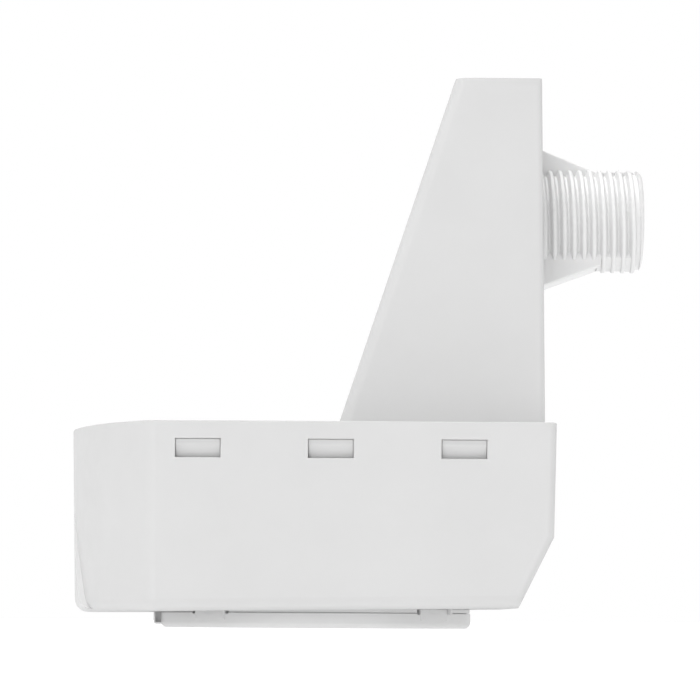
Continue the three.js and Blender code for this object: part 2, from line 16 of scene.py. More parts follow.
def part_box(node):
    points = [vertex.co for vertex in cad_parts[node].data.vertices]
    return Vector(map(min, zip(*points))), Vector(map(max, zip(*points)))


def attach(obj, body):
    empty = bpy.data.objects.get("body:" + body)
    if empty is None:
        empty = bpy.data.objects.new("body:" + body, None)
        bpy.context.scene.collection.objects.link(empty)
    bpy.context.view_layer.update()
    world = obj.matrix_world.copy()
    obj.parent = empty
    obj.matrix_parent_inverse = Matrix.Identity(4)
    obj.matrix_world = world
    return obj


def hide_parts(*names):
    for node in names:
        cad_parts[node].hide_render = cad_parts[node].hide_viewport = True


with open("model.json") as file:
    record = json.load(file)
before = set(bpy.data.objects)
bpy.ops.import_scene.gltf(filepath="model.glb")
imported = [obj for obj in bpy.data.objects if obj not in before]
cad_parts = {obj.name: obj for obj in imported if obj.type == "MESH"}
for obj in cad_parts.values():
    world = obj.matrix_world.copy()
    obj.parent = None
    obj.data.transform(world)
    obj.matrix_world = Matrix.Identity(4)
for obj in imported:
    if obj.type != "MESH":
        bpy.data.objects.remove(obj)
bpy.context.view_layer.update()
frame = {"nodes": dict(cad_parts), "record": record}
MM = 0.001

# %% [markdown]
# ## Tools for the bench
# An operator works on everything that is selected. So each step starts by selecting only the
# object it is for, and picks faces or edges by a rule about where they are.

# %% Selecting by rule
def only(obj):
    """Leaves edit mode and selects one object."""
    if bpy.context.object and bpy.context.object.mode != "OBJECT":
        bpy.ops.object.mode_set(mode="OBJECT")
    bpy.ops.object.select_all(action="DESELECT")
    obj.select_set(True)
    bpy.context.view_layer.objects.active = obj
    return obj


def edit(obj):
    only(obj)
    bpy.ops.object.mode_set(mode="EDIT")
    bpy.ops.mesh.select_all(action="SELECT")


def leave():
    bpy.ops.object.mode_set(mode="OBJECT")


def pick(obj, kind, rule):
    """In edit mode, selects the verts, edges or faces whose corners and normal meet the rule."""
    modes = {"verts": "VERT", "edges": "EDGE", "faces": "FACE"}
    bpy.ops.mesh.select_all(action="DESELECT")
    bpy.ops.mesh.select_mode(type=modes[kind])
    mesh = bmesh.from_edit_mesh(obj.data)
    chosen = [item for item in getattr(mesh, kind) if rule(item)]
    for item in chosen:
        item.select_set(True)
    bmesh.update_edit_mesh(obj.data)
    return len(chosen)


def corners(item):
    return [item.co] if isinstance(item, bmesh.types.BMVert) else [v.co for v in item.verts]


def at(axis, value, reach=0.02 * MM):
    """A rule: every corner lies at this value along the axis."""
    return lambda item: all(abs(co[axis] - value) < reach for co in corners(item))


def side_length(edge):
    """How far an edge runs along X."""
    return abs(corners(edge)[0].x - corners(edge)[1].x)


X, Z = 0, 2

# %% Starting, placing and cutting
def placed(name):
    """Names the object just added and puts its place into its mesh."""
    obj = bpy.context.object
    obj.name = name
    bpy.ops.object.transform_apply(location=True, rotation=True, scale=True)
    return obj


def block(name, low, high):
    """A box between two corners, as a start for shaping."""
    bpy.ops.object.select_all(action="DESELECT")
    low, high = Vector(low), Vector(high)
    bpy.ops.mesh.primitive_cube_add(size=1, location=(low + high) / 2, scale=high - low)
    return placed(name)


def drum(name, radius, centre, start, end, sides=96, along=Z):
    """A round bar from start to end along an axis, through a centre given for the other two."""
    bpy.ops.object.select_all(action="DESELECT")
    location = list(centre)
    location.insert(along, (start + end) / 2)
    turn = {X: (0, math.pi / 2, 0), Z: (0, 0, 0)}[along]
    bpy.ops.mesh.primitive_cylinder_add(
        vertices=sides, radius=radius, depth=end - start, location=location, rotation=turn
    )
    return placed(name)


def combine(obj, tool, operation):
    """Cuts, joins or intersects with a tool, which is used up."""
    only(obj)
    modifier = obj.modifiers.new("combine", "BOOLEAN")
    modifier.object = tool
    modifier.operation = operation
    modifier.solver = "EXACT"
    bpy.ops.object.modifier_apply(modifier=modifier.name)
    bpy.data.objects.remove(tool)
    return obj


def cut(obj, tool):
    return combine(obj, tool, "DIFFERENCE")


def join(obj, tool):
    return combine(obj, tool, "UNION")


def bevel(offset, segments=3):
    bpy.ops.mesh.bevel(offset=offset, segments=segments, profile=0.5, affect="EDGES")


def finish_surface(obj, degrees=32):
    """Smooth shading that keeps real edges, with flat faces left truly flat."""
    edit(obj)
    bpy.ops.mesh.remove_doubles(threshold=0.0005 * MM)
    leave()
    bpy.ops.object.shade_smooth_by_angle(angle=math.radians(degrees))
    modifier = obj.modifiers.new("flat faces", "WEIGHTED_NORMAL")
    modifier.keep_sharp = True
    bpy.ops.object.modifier_apply(modifier=modifier.name)
    print(obj.name, len(obj.data.polygons), "faces,", "size in mm",
          [round(side / MM, 1) for side in obj.dimensions])
    return obj


# %% [markdown]
# ## Finishes
# The shell is moulded in white plastic with a fine satin texture from the mould. Pure white
# would look like paper, so the colour drifts a little over a few centimetres, and a grain of
# about a third of a millimetre breaks up the highlights. The grain is a bump: it is far too
# small to model, but it changes how light rolls over an edge.

# %% A moulded plastic
def new_material(name):
    material = bpy.data.materials.new(name)
    material.use_nodes = True
    tree = material.node_tree
    return material, tree, tree.nodes["Principled BSDF"]


def noise(tree, size, detail=2.0, stretch=(1, 1, 1)):
    """Noise with features of a real size, in metres, on the object's own coordinates."""
    coordinates = tree.nodes.new("ShaderNodeTexCoord")
    mapping = tree.nodes.new("ShaderNodeMapping")
    mapping.inputs["Scale"].default_value = stretch
    texture = tree.nodes.new("ShaderNodeTexNoise")
    texture.inputs["Scale"].default_value = 1 / size
    texture.inputs["Detail"].default_value = detail
    tree.links.new(coordinates.outputs["Object"], mapping.inputs["Vector"])
    tree.links.new(mapping.outputs["Vector"], texture.inputs["Vector"])
    return texture.outputs["Fac"]


def ramp(tree, factor, first, second, start=0.35, end=0.65):
    node = tree.nodes.new("ShaderNodeValToRGB")
    node.color_ramp.elements[0].position = start
    node.color_ramp.elements[1].position = end
    node.color_ramp.elements[0].color = (*first, 1)
    node.color_ramp.elements[1].color = (*second, 1)
    tree.links.new(factor, node.inputs["Fac"])
    return node.outputs["Color"]


def bump(tree, shader, height, strength, distance):
    node = tree.nodes.new("ShaderNodeBump")
    node.inputs["Strength"].default_value = strength
    node.inputs["Distance"].default_value = distance
    tree.links.new(height, node.inputs["Height"])
    tree.links.new(node.outputs["Normal"], shader.inputs["Normal"])


def moulded(name, colour, drift=0.02, rough=(0.42, 0.52), grain=0.35 * MM, strength=0.12):
    """Moulded plastic: a slow drift of colour, patchy satin, and the mould's fine grain."""
    material, tree, shader = new_material(name)
    darker = tuple(channel * (1 - drift) for channel in colour)
    patches = noise(tree, 14 * MM, 4)
    tree.links.new(ramp(tree, patches, darker, colour), shader.inputs["Base Color"])
    satin = ramp(tree, noise(tree, 3 * MM, 3), [rough[0]] * 3, [rough[1]] * 3)
    tree.links.new(satin, shader.inputs["Roughness"])
    bump(tree, shader, noise(tree, grain, 2), strength, 0.02 * MM)
    return material


SHELL_WHITE = moulded("satin_white_shell", (0.60, 0.60, 0.60))
# The ring is the same white plastic as the shell. Its lighter colour is painted light: it makes up
# for the shade the ring gets under the housing's overhang.
RING_WHITE_PAINTED_LIGHT = moulded("satin_white_ring_painted_light", (0.77, 0.77, 0.77), rough=(0.45, 0.55))
# The nipple is the same white plastic too. Its lighter colour is painted light: it brightens the
# nipple, which the lamps alone leave darker than the shell.
THREAD_WHITE_PAINTED_LIGHT = moulded("satin_white_thread_painted_light", (0.74, 0.74, 0.74))
print("shell finish has", len(SHELL_WHITE.node_tree.nodes), "nodes")

# %% [markdown]
# ## The housing's outline
# Seen from above, the housing is a rectangle whose front is bowed. It could be drawn point by
# point, but a big cylinder already has the bow's curve. So we add that cylinder and slice its
# sides and back away. The mould also needs draft: the underside is a little smaller than the
# rim, so the low corners are drawn in before anything else is added. The underside also drops
# a little towards the front, which is one turn of its corners about a line near the back.

# %% A bowed block at any inset
housing_low, housing_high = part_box("front_housing")
WALL = 2.2 * MM
BOW_RADIUS = 60.1 * MM
# This count leaves a facet of about 1.6 mm beside each front corner, wide enough for the
# corner's bevel. It was found by trial: two nearby counts made the cuts further on fail.
BOW_SIDES = 206
BOW_CENTRE = housing_low.x + BOW_RADIUS
DRAFT = 0.016
TILT = math.atan(0.013)
TILT_FROM = Vector((24 * MM, 0, 0))
MIDDLE_X = (housing_low.x + housing_high.x) / 2
RIM_Z = housing_high.z
FLOOR_Z = 3.8 * MM


def draft_share(z):
    return 1 - DRAFT * (RIM_Z - z) / (RIM_Z - FLOOR_Z)


def bowed_block(name, inset, bottom, top, tilt=0):
    form = drum(name, BOW_RADIUS - inset, (BOW_CENTRE, 0), bottom, top, sides=BOW_SIDES)
    half = housing_high.y - inset
    edit(form)
    for point, normal in (
        ((0, half, 0), (0, 1, 0)),
        ((0, -half, 0), (0, -1, 0)),
        ((housing_high.x - inset, 0, 0), (1, 0, 0)),
    ):
        bpy.ops.mesh.select_all(action="SELECT")
        bpy.ops.mesh.bisect(plane_co=point, plane_no=normal, use_fill=True, clear_outer=True)
    for z in (bottom, top):
        pick(form, "verts", at(Z, z))
        share = draft_share(z)
        bpy.ops.transform.resize(value=(share, share, 1), center_override=(MIDDLE_X, 0, z))
    if tilt:
        pick(form, "verts", at(Z, bottom))
        pivot = TILT_FROM + Vector((0, 0, bottom))
        bpy.ops.transform.rotate(value=tilt, orient_axis="Y", center_override=pivot)
        front_z = min(vertex.co.z for vertex in bmesh.from_edit_mesh(form.data).verts)
        print(name, "underside drops to", round(front_z / MM, 2), "mm at the front")
    leave()
    return form


# The lower back edge is cut away by a sloping face.
SLOPE_LOW = Vector((29.5 * MM, 0, 3.8 * MM))
SLOPE_HIGH = Vector((36.3 * MM, 0, 17.4 * MM))
slope = (SLOPE_HIGH - SLOPE_LOW).normalized()
SLOPE_OUT = Vector((slope.z, 0, -slope.x))


def cut_slope(obj, inset):
    edit(obj)
    bpy.ops.mesh.bisect(
        plane_co=SLOPE_LOW - SLOPE_OUT * inset, plane_no=SLOPE_OUT, use_fill=True, clear_outer=True
    )
    leave()


# %% The outer skin with its rounded edges
housing = bowed_block("housing_shell", 0, FLOOR_Z, RIM_Z, tilt=TILT)
cut_slope(housing, 0)


def upright_corner(edge):
    a, b = corners(edge)
    return abs(a.z - b.z) > 5 * MM and min(abs(a.y), abs(b.y)) > 41.2 * MM


def under_edge(edge):
    """An edge between the underside and a side, but not at the sloping back."""
    a, b = corners(edge)
    low = all(co.z < FLOOR_Z + 0.3 * MM for co in (a, b))
    ahead = (a.x + b.x) / 2 < SLOPE_LOW.x - 0.1 * MM
    if not (low and ahead and len(edge.link_faces) == 2):
        return False
    first, second = edge.link_faces
    return abs(first.normal.z - second.normal.z) > 0.5


edit(housing)
print("upright corners:", pick(housing, "edges", upright_corner))
bevel(1.3 * MM, 4)
print("lower edges:", pick(housing, "edges", under_edge))
bevel(2.5 * MM, 6)
leave()

# %% [markdown]
# A pad stands on the middle of the bow, low down. Its face is much flatter than the bow and
# runs out into the bow's foremost part, so it only shows at its sides, where the bow falls away
# behind it, and it narrows towards the top. A slice of a far bigger cylinder has the right
# face, and its foot is rounded while it is still a whole cylinder, because a bevel on a full
# circle has no ends to go wrong at. A tapering block then trims its outline.

# %% The front pad
PAD_RADIUS, PAD_FRONT = 112 * MM, housing_low.x + 0.3 * MM
PAD_TOP, PAD_FOOT = 23.6 * MM, FLOOR_Z - 0.5 * MM
PAD_TOP_HALF, PAD_FOOT_HALF = 9.4 * MM, 21.6 * MM
pad = drum("pad", PAD_RADIUS, (PAD_FRONT + PAD_RADIUS, 0), PAD_FOOT, PAD_TOP, sides=720)
edit(pad)
pick(pad, "edges", at(Z, PAD_FOOT))
bevel(2.4 * MM, 6)
levels = sorted({round(vertex.co.z, 6) for vertex in bmesh.from_edit_mesh(pad.data).verts})
for z in levels:
    pick(pad, "verts", at(Z, z))
    share = draft_share(z)
    bpy.ops.transform.resize(value=(share, share, 1), center_override=(MIDDLE_X, 0, z))
bpy.ops.mesh.select_all(action="SELECT")
bpy.ops.mesh.bisect(
    plane_co=(-47 * MM, 0, 0), plane_no=(1, 0, 0), use_fill=True, clear_outer=True
)
leave()
print("levels drawn in on the pad:", len(levels))

# %% Trim its outline to a taper, and join it
trim_low = (-60 * MM, -PAD_FOOT_HALF, PAD_FOOT - 1 * MM)
trim = block("pad trim", trim_low, (-40 * MM, PAD_FOOT_HALF, PAD_TOP))
edit(trim)
pick(trim, "verts", at(Z, PAD_TOP))
taper = PAD_TOP_HALF / PAD_FOOT_HALF
bpy.ops.transform.resize(value=(1, taper, 1), center_override=(0, 0, PAD_TOP))
pick(trim, "edges", lambda e: at(Z, PAD_TOP)(e) and side_length(e) > 2 * MM)
bevel(3.5 * MM, 6)
leave()
combine(pad, trim, "INTERSECT")
join(housing, pad)

# %% Hollow it out, and open the lens hole and the windows
cavity = bowed_block("cavity", WALL, FLOOR_Z + WALL, RIM_Z + 2 * MM, tilt=TILT)
cut_slope(cavity, WALL)
cut(housing, cavity)

# The recess makes a level seat for the ring in the tilted underside. Its top is just above
# the underside's highest point there, so it cuts all the way round.
LENS_X = (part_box("fresnel_lens")[0].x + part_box("fresnel_lens")[1].x) / 2
HOLE_R, RECESS_R = 27.6 * MM, 32.6 * MM
cut(housing, drum("hole", HOLE_R, (LENS_X, 0), 0, FLOOR_Z + 3 * MM, sides=128))
cut(housing, drum("ring recess", RECESS_R, (LENS_X, 0), 0, FLOOR_Z + 0.02 * MM, sides=160))

WINDOW_X = (-29.4 * MM, -5 * MM, 19.5 * MM)
WINDOW_HALF = 4.15 * MM
WINDOW_LOW, WINDOW_HIGH = 31.15 * MM, 34.6 * MM
for window_x in WINDOW_X:
    low = (window_x - WINDOW_HALF, -50 * MM, WINDOW_LOW)
    high = (window_x + WINDOW_HALF, 50 * MM, WINDOW_HIGH)
    cut(housing, block("window", low, high))


def window_rim(edge):
    outside = all(abs(co.y) > 41.5 * MM and abs(co.x) < 35 * MM for co in corners(edge))
    level = all(WINDOW_LOW - 0.1 * MM < co.z < WINDOW_HIGH + 0.1 * MM for co in corners(edge))
    return outside and level


edit(housing)
print("window edges:", pick(housing, "edges", window_rim))
bevel(0.25 * MM, 2)
pick(housing, "edges", at(Z, RIM_Z))
bevel(0.3 * MM, 2)
leave()

# %% Posts for the boards
POST_XY = [(x * MM, y * MM) for x in (-34, 22) for y in (-32, 32)]
POST_R, SCREW_HOLE_R = 3.2 * MM, 1.6 * MM
POST_FOOT, POST_TOP = FLOOR_Z + WALL - 1.3 * MM, 13.7 * MM
for place in POST_XY:
    join(housing, drum("post", POST_R, place, POST_FOOT, POST_TOP, sides=32))
    cut(housing, drum("post hole", SCREW_HOLE_R, place, 7.2 * MM, POST_TOP + 1 * MM, sides=24))
finish_surface(housing)
housing.data.materials.append(SHELL_WHITE)
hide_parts("front_housing")
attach(housing, "sensor_body")

# %% [markdown]
# ## The riser and its cover
# The tall riser holds the sensor away from the lamp's reflector. It grows out of the flat cover
# that closes the housing. A box is the natural start: its top face is drawn in until the front
# slopes back, then the edges are rounded, more on the sloping front than at the back.

# %% The riser's form
RISER_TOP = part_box("riser_cover")[1].z
FOOT_FRONT, FOOT_BACK = -3.9 * MM, 35.5 * MM
TOP_FRONT, TOP_BACK = 18.4 * MM, 35.0 * MM
FOOT_HALF, TOP_HALF = 22 * MM, 19 * MM
FOOT_Z = RIM_Z + 0.1 * MM
# The front leans, so a wall measured square to it is this much longer along X.
LEAN = 1.05


def up_the_riser(at_foot, at_top, z):
    """A measure that changes evenly from the rim to the riser's top."""
    slide = (z - RIM_Z) / (RISER_TOP - RIM_Z)
    return at_foot + (at_top - at_foot) * slide


def riser_block(name, inset, bottom, top):
    """The riser's tapering form between two heights, moved in by an inset."""

    def front(z):
        return up_the_riser(FOOT_FRONT, TOP_FRONT, z) + inset * LEAN

    def back(z):
        return up_the_riser(FOOT_BACK, TOP_BACK, z) - inset

    def half(z):
        return up_the_riser(FOOT_HALF, TOP_HALF, z) - inset

    low = (front(bottom), -half(bottom), bottom)
    form = block(name, low, (back(bottom), half(bottom), top))
    edit(form)
    pick(form, "verts", at(Z, top))
    share = half(top) / half(bottom)
    bpy.ops.transform.resize(value=(1, share, 1), center_override=(0, 0, top))
    for place, target in ((front(bottom), front(top)), (back(bottom), back(top))):
        pick(form, "verts", lambda v: abs(v.co.z - top) < 0.01 * MM
             and abs(v.co.x - place) < 0.01 * MM)
        bpy.ops.transform.translate(value=(target - place, 0, 0))
    leave()
    return form


riser = riser_block("riser", 0, FOOT_Z, RISER_TOP)


def sloping_edge(edge):
    a, b = corners(edge)
    return abs(a.z - b.z) > 20 * MM and abs(a.x - b.x) > 10 * MM


def back_edge(edge):
    a, b = corners(edge)
    return abs(a.z - b.z) > 20 * MM and abs(a.x - b.x) < 5 * MM and a.x > 30 * MM


edit(riser)
print("sloping edges:", pick(riser, "edges", sloping_edge))
bevel(2.3 * MM, 6)
print("back edges:", pick(riser, "edges", back_edge))
bevel(1.0 * MM, 4)
print("side top edges:", pick(riser, "edges", lambda e: at(Z, RISER_TOP)(e)
                              and side_length(e) > 5 * MM))
bevel(1.6 * MM, 5)
print("end top edges:", pick(riser, "edges", lambda e: at(Z, RISER_TOP)(e)
                             and (corners(e)[0] - corners(e)[1]).length > 0.1 * MM
                             and side_length(e) < 0.01 * MM))
bevel(0.8 * MM, 4)
leave()

# %% The cover plate under it
PLATE_Z = RIM_Z - 2.5 * MM
GAP = 0.3 * MM
cover = bowed_block("riser_and_cover", WALL + GAP, PLATE_Z, RIM_Z)
edit(cover)
pick(cover, "edges", at(Z, RIM_Z))
bevel(0.25 * MM, 2)
leave()
foot = riser_block("foot", 0.4 * MM, RIM_Z - 1 * MM, RIM_Z + 1 * MM)
edit(foot)
pick(foot, "verts", lambda v: v.co.x > 30 * MM)
bpy.ops.transform.translate(value=(-1.4 * MM, 0, 0))
leave()
join(cover, foot)
join(cover, riser)
cut(cover, riser_block("hollow", 2 * MM, PLATE_Z - 1 * MM, RISER_TOP - 2 * MM))

NIPPLE_Z = 80 * MM
WIRE_HOLE_R = 9.2 * MM
cut(cover, drum("wire hole", WIRE_HOLE_R, (0, NIPPLE_Z), 31 * MM, 37 * MM, along=X))
finish_surface(cover)
cover.data.materials.append(SHELL_WHITE)
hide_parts("riser_cover")
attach(cover, "sensor_body")

# %% [markdown]
# ## Snap hooks
# Six hooks hang from the cover and click into the windows. Their faces slope, because the hook
# has to slide down inside the wall before it springs out. One is modelled, then copied along
# the side and mirrored across. A mirrored mesh is inside out, so its normals are recalculated.

# %% One hook, then six
HOOK_HALF = 4.13 * MM
HOOK_GAP = 0.02 * MM
hook = block(
    "hook", (-HOOK_HALF, -41.45 * MM, WINDOW_LOW + HOOK_GAP),
    (HOOK_HALF, -37.6 * MM, WINDOW_HIGH - HOOK_GAP),
)
edit(hook)
bpy.ops.mesh.bisect(plane_co=(0, 0, WINDOW_HIGH - 1.1 * MM), plane_no=(0, 0, 1))
pick(hook, "verts", lambda v: v.co.y < -41 * MM and v.co.z < 32 * MM)
bpy.ops.transform.translate(value=(0, 1.1 * MM, 0))
pick(hook, "edges", lambda e: all(co.y < -40 * MM for co in corners(e)))
bevel(0.2 * MM, 3)
leave()
STEM_HALF = 4.8 * MM
stem_high = (STEM_HALF, -37.3 * MM, PLATE_Z + 0.01 * MM)
stem = block("stem", (-STEM_HALF, -39.5 * MM, 30.8 * MM), stem_high)
edit(stem)
pick(stem, "edges", lambda e: abs(corners(e)[0].z - corners(e)[1].z) > 3 * MM)
bevel(0.3 * MM, 2)
leave()
join(hook, stem)


def place_hook(name, x, side):
    only(hook)
    bpy.ops.object.duplicate()
    copy = bpy.context.object
    copy.name = name
    copy.location.x = x
    copy.scale.y = -side
    bpy.ops.object.transform_apply(location=True, rotation=True, scale=True)
    edit(copy)
    bpy.ops.mesh.normals_make_consistent(inside=False)
    leave()
    finish_surface(copy)
    copy.data.materials.append(SHELL_WHITE)
    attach(copy, "sensor_body")


for column, window_x in zip(("front", "middle", "back"), WINDOW_X):
    for flank, side in (("near", -1), ("far", 1)):
        place_hook(f"snap_hook_{column}_{flank}", window_x, side)
bpy.data.objects.remove(hook)

# %% [markdown]
# ## The wiring nipple
# The nipple is a tube with a moulded screw thread. Rings would be quicker than a helix, but a
# nut follows the helix and the eye sees its slant. So a small blade profile is added beside the
# axis, and a Screw modifier winds it round. The winding is split where the two gussets run,
# trimmed to a chamfered cylinder, and joined to the tube. The tube's number of sides shares no
# factor with the winding's steps: with twice the steps, the joined mesh was left open.

# %% The thread
THREAD_PITCH = 1.92 * MM
THREAD_STEPS = 72
CREST_R, ROOT_R, BORE_R = 10.1 * MM, 8.95 * MM, 7.75 * MM
NIPPLE_START = FOOT_BACK - 0.4 * MM
NIPPLE_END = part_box("wiring_nipple")[1].x
FULL_THREAD_X = 46.9 * MM
FIRST_TURN_X = NIPPLE_START - 1.5 * MM
ROOT_HALF, CREST_HALF = 0.93 * MM, 0.3 * MM
SUNK = 0.3 * MM
TURNS = 12
bpy.ops.object.select_all(action="DESELECT")
bpy.ops.mesh.primitive_plane_add(size=1, rotation=(math.pi / 2, 0, 0))
thread = placed("thread")
edit(thread)
bpy.ops.transform.resize(value=(2 * ROOT_HALF, 1, CREST_R - ROOT_R + SUNK))
bpy.ops.transform.translate(value=(0, 0, (CREST_R + ROOT_R - SUNK) / 2))
pick(thread, "verts", at(Z, CREST_R))
bpy.ops.transform.resize(value=(CREST_HALF / ROOT_HALF, 1, 1), center_override=(0, 0, CREST_R))
bpy.ops.mesh.bevel(offset=0.14 * MM, segments=3, profile=0.5, affect="VERTICES")
leave()
thread.location = (FIRST_TURN_X, 0, NIPPLE_Z)
winding = thread.modifiers.new("winding", "SCREW")
winding.axis = "X"
winding.screw_offset = THREAD_PITCH
winding.iterations = TURNS
winding.steps = winding.render_steps = THREAD_STEPS
winding.use_merge_vertices = True
only(thread)
bpy.ops.object.modifier_apply(modifier=winding.name)
placed("thread")
edit(thread)
bpy.ops.mesh.delete_loose()
bpy.ops.mesh.select_all(action="DESELECT")
bpy.ops.mesh.select_non_manifold()
bpy.ops.mesh.fill_holes(sides=0)
bpy.ops.mesh.select_all(action="SELECT")
bpy.ops.mesh.normals_make_consistent(inside=False)
leave()
print("thread faces:", len(thread.data.polygons))

# %% Split it at the gussets, trim it, and join the tube
TUBE_SIDES = 137


def nipple_bar(name, radius, start, end, sides=TUBE_SIDES):
    return drum(name, radius, (0, NIPPLE_Z), start, end, sides=sides, along=X)


def rounded_bar(name, radius, start, end, round_end):
    bar = nipple_bar(name, radius, start, end)
    edit(bar)
    pick(bar, "edges", at(X, end))
    bevel(round_end, 5)
    leave()
    return bar


UPPER_HALF, LOWER_HALF = 1.8 * MM, 5.9 * MM
FILLED_R = 9.75 * MM


def strip(name, half, side, start, end):
    z0, z1 = sorted((NIPPLE_Z, NIPPLE_Z + side * 12 * MM))
    return block(name, (start, -half, z0), (end, half, z1))


GUSSETS = ((UPPER_HALF, 1), (LOWER_HALF, -1))
for half, side in GUSSETS:
    cut(thread, strip("gusset gap", half - 0.1 * MM, side, NIPPLE_START - 1 * MM, FULL_THREAD_X))
trim = rounded_bar("trim", CREST_R + 0.02 * MM, NIPPLE_START, NIPPLE_END, 1.6 * MM)
combine(thread, trim, "INTERSECT")
TUBE_START, TUBE_END = NIPPLE_START - 0.13 * MM, NIPPLE_END - 0.4 * MM
nipple = rounded_bar("threaded_nipple", ROOT_R, TUBE_START, TUBE_END, 0.3 * MM)
join(nipple, thread)

# Past the gussets a low filled strip runs on along the top and the bottom.
for half, side in GUSSETS:
    filled = rounded_bar("filled strip", FILLED_R, FULL_THREAD_X - 0.2 * MM, 54.2 * MM, 0.6 * MM)
    combine(filled, strip("strip", half, side, FULL_THREAD_X - 1 * MM, 56 * MM), "INTERSECT")
    join(nipple, filled)
join(nipple, rounded_bar("end collar", 9.35 * MM, 53.6 * MM, NIPPLE_END, 0.9 * MM))


# A gusset starts a little within the bore's radius, and the bore then cuts it flush.
GUSSET_INNER = 6.4 * MM


def gusset(half, side, reach, end_reach):
    """A web that braces the nipple: a block whose outer edge slopes in towards the thread."""
    outer = NIPPLE_Z + side * reach
    z0, z1 = sorted((NIPPLE_Z + side * GUSSET_INNER, outer))
    web = block("web", (NIPPLE_START, -half, z0), (FULL_THREAD_X + 0.3 * MM, half, z1))
    edit(web)
    pick(web, "verts", lambda v: abs(v.co.z - outer) < 0.01 * MM and v.co.x > 40 * MM)
    bpy.ops.transform.translate(value=(0, 0, side * (end_reach - reach)))
    pick(web, "edges", lambda e: all(side * (co.z - NIPPLE_Z) > 9 * MM for co in corners(e))
         and side_length(e) > 5 * MM)
    bevel(0.35 * MM, 3)
    leave()
    return web


join(nipple, gusset(UPPER_HALF, 1, 14.3 * MM, 9.4 * MM))
join(nipple, gusset(LOWER_HALF, -1, 13.6 * MM, 9.2 * MM))
join(nipple, nipple_bar("spigot", 8.6 * MM, 33.5 * MM, NIPPLE_START + 0.5 * MM, sides=96))
cut(nipple, nipple_bar("bore", BORE_R, 32 * MM, NIPPLE_END + 1 * MM, sides=96))
edit(nipple)
print("bore mouth:", pick(nipple, "edges", lambda e: at(X, NIPPLE_END)(e) and all(
    (co.yz - Vector((0, NIPPLE_Z))).length < BORE_R + 0.01 * MM for co in corners(e))))
bevel(0.4 * MM, 3)
leave()
finish_surface(nipple, 40)
# Painted light: the nipple's white is lighter than the shell's, to brighten it.
nipple.data.materials.append(THREAD_WHITE_PAINTED_LIGHT)
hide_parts("wiring_nipple")
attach(nipple, "sensor_body")

# %% [markdown]
# ## The twist-lock ring
# The ring clamps the lens. Its rim has a fine seam, four lugs with a notch on either side, and
# a finger tab at the front. Lathed shapes could be spun from a profile, but with so many steps
# and lugs it is simpler to stack round bars and join them.

# %% The ring
RING_R = 30.15 * MM
RING_TOP = 3.7 * MM
SEAM_Z = 2.85 * MM


def about_lens(obj, degrees):
    """Turns an object about the lens axis and keeps the turn in its mesh."""
    edit(obj)
    bpy.ops.transform.rotate(
        value=math.radians(-degrees), orient_axis="Z", center_override=(LENS_X, 0, 0)
    )
    leave()
    return obj


ring = drum("lens_ring_rim", RING_R, (LENS_X, 0), 0, SEAM_Z, sides=192)
edit(ring)
pick(ring, "edges", at(Z, 0))
bevel(1.1 * MM, 4)
pick(ring, "edges", at(Z, SEAM_Z))
bevel(0.1 * MM, 2)
leave()
join(ring, drum("seam", RING_R - 0.8 * MM, (LENS_X, 0), 2 * MM, 3.4 * MM, sides=192))
upper = drum("upper", RING_R - 0.1 * MM, (LENS_X, 0), SEAM_Z + 0.1 * MM, RING_TOP, sides=192)
edit(upper)
pick(upper, "edges", lambda e: at(Z, RING_TOP)(e) or at(Z, SEAM_Z + 0.1 * MM)(e))
bevel(0.08 * MM, 1)
leave()
join(ring, upper)
join(ring, drum("skirt", 27.2 * MM, (LENS_X, 0), 2 * MM, 7.4 * MM, sides=128))

LUG_ANGLES = (48.9, 138.9, 228.9, 318.9)
LUG_HALF = 7.4
for angle in LUG_ANGLES:
    low = (LENS_X + 27 * MM, -3.9 * MM, 1.5 * MM)
    lug = block("lug", low, (LENS_X + RING_R - 0.05 * MM, 3.9 * MM, RING_TOP))
    edit(lug)
    pick(lug, "edges", lambda e: all(co.x > LENS_X + 30 * MM for co in corners(e)))
    bevel(0.2 * MM, 2)
    leave()
    join(ring, about_lens(lug, angle))
    for side in (-1, 1):
        low = (LENS_X + 27.5 * MM, -0.35 * MM, 2.62 * MM)
        notch = block("notch", low, (LENS_X + 31 * MM, 0.35 * MM, 4 * MM))
        cut(ring, about_lens(notch, angle + side * (LUG_HALF + 0.75)))
    low = (LENS_X + 26 * MM, -3.8 * MM, 6.3 * MM)
    bayonet = block("bayonet", low, (LENS_X + 28.9 * MM, 3.8 * MM, 7.4 * MM))
    join(ring, about_lens(bayonet, angle))

TAB_FRONT = LENS_X - RING_R - 1.2 * MM
tab_high = (LENS_X - RING_R + 2 * MM, 4.5 * MM, 3.7 * MM)
tab = block("tab", (TAB_FRONT, -4.5 * MM, 0.6 * MM), tab_high)
edit(tab)
pick(tab, "edges", lambda e: all(co.x < LENS_X - RING_R - 1 * MM for co in corners(e)))
bevel(0.45 * MM, 3)
leave()
for side in (-1, 1):
    y0, y1 = sorted((side * 3.2 * MM, side * 5 * MM))
    pocket_high = (LENS_X - RING_R + 1 * MM, y1, 3.4 * MM)
    cut(tab, block("pocket", (TAB_FRONT + 0.35 * MM, y0, 0.95 * MM), pocket_high))
join(ring, tab)
for rib_y in (-2.4, 0, 2.4):
    groove_low = (TAB_FRONT - 1 * MM, (rib_y - 0.4) * MM, 0)
    groove_high = (TAB_FRONT + 0.4 * MM, (rib_y + 0.4) * MM, 4 * MM)
    cut(ring, block("grip groove", groove_low, groove_high))
cut(ring, drum("mouth", 25.8 * MM, (LENS_X, 0), 1.2 * MM, 9 * MM, sides=128))
cut(ring, drum("opening", 24 * MM, (LENS_X, 0), -1 * MM, 9 * MM, sides=128))
edit(ring)
pick(ring, "edges", lambda e: at(Z, 0)(e) and all(
    (co.xy - Vector((LENS_X, 0))).length < 24.2 * MM for co in corners(e)))
bevel(0.5 * MM, 3)
leave()
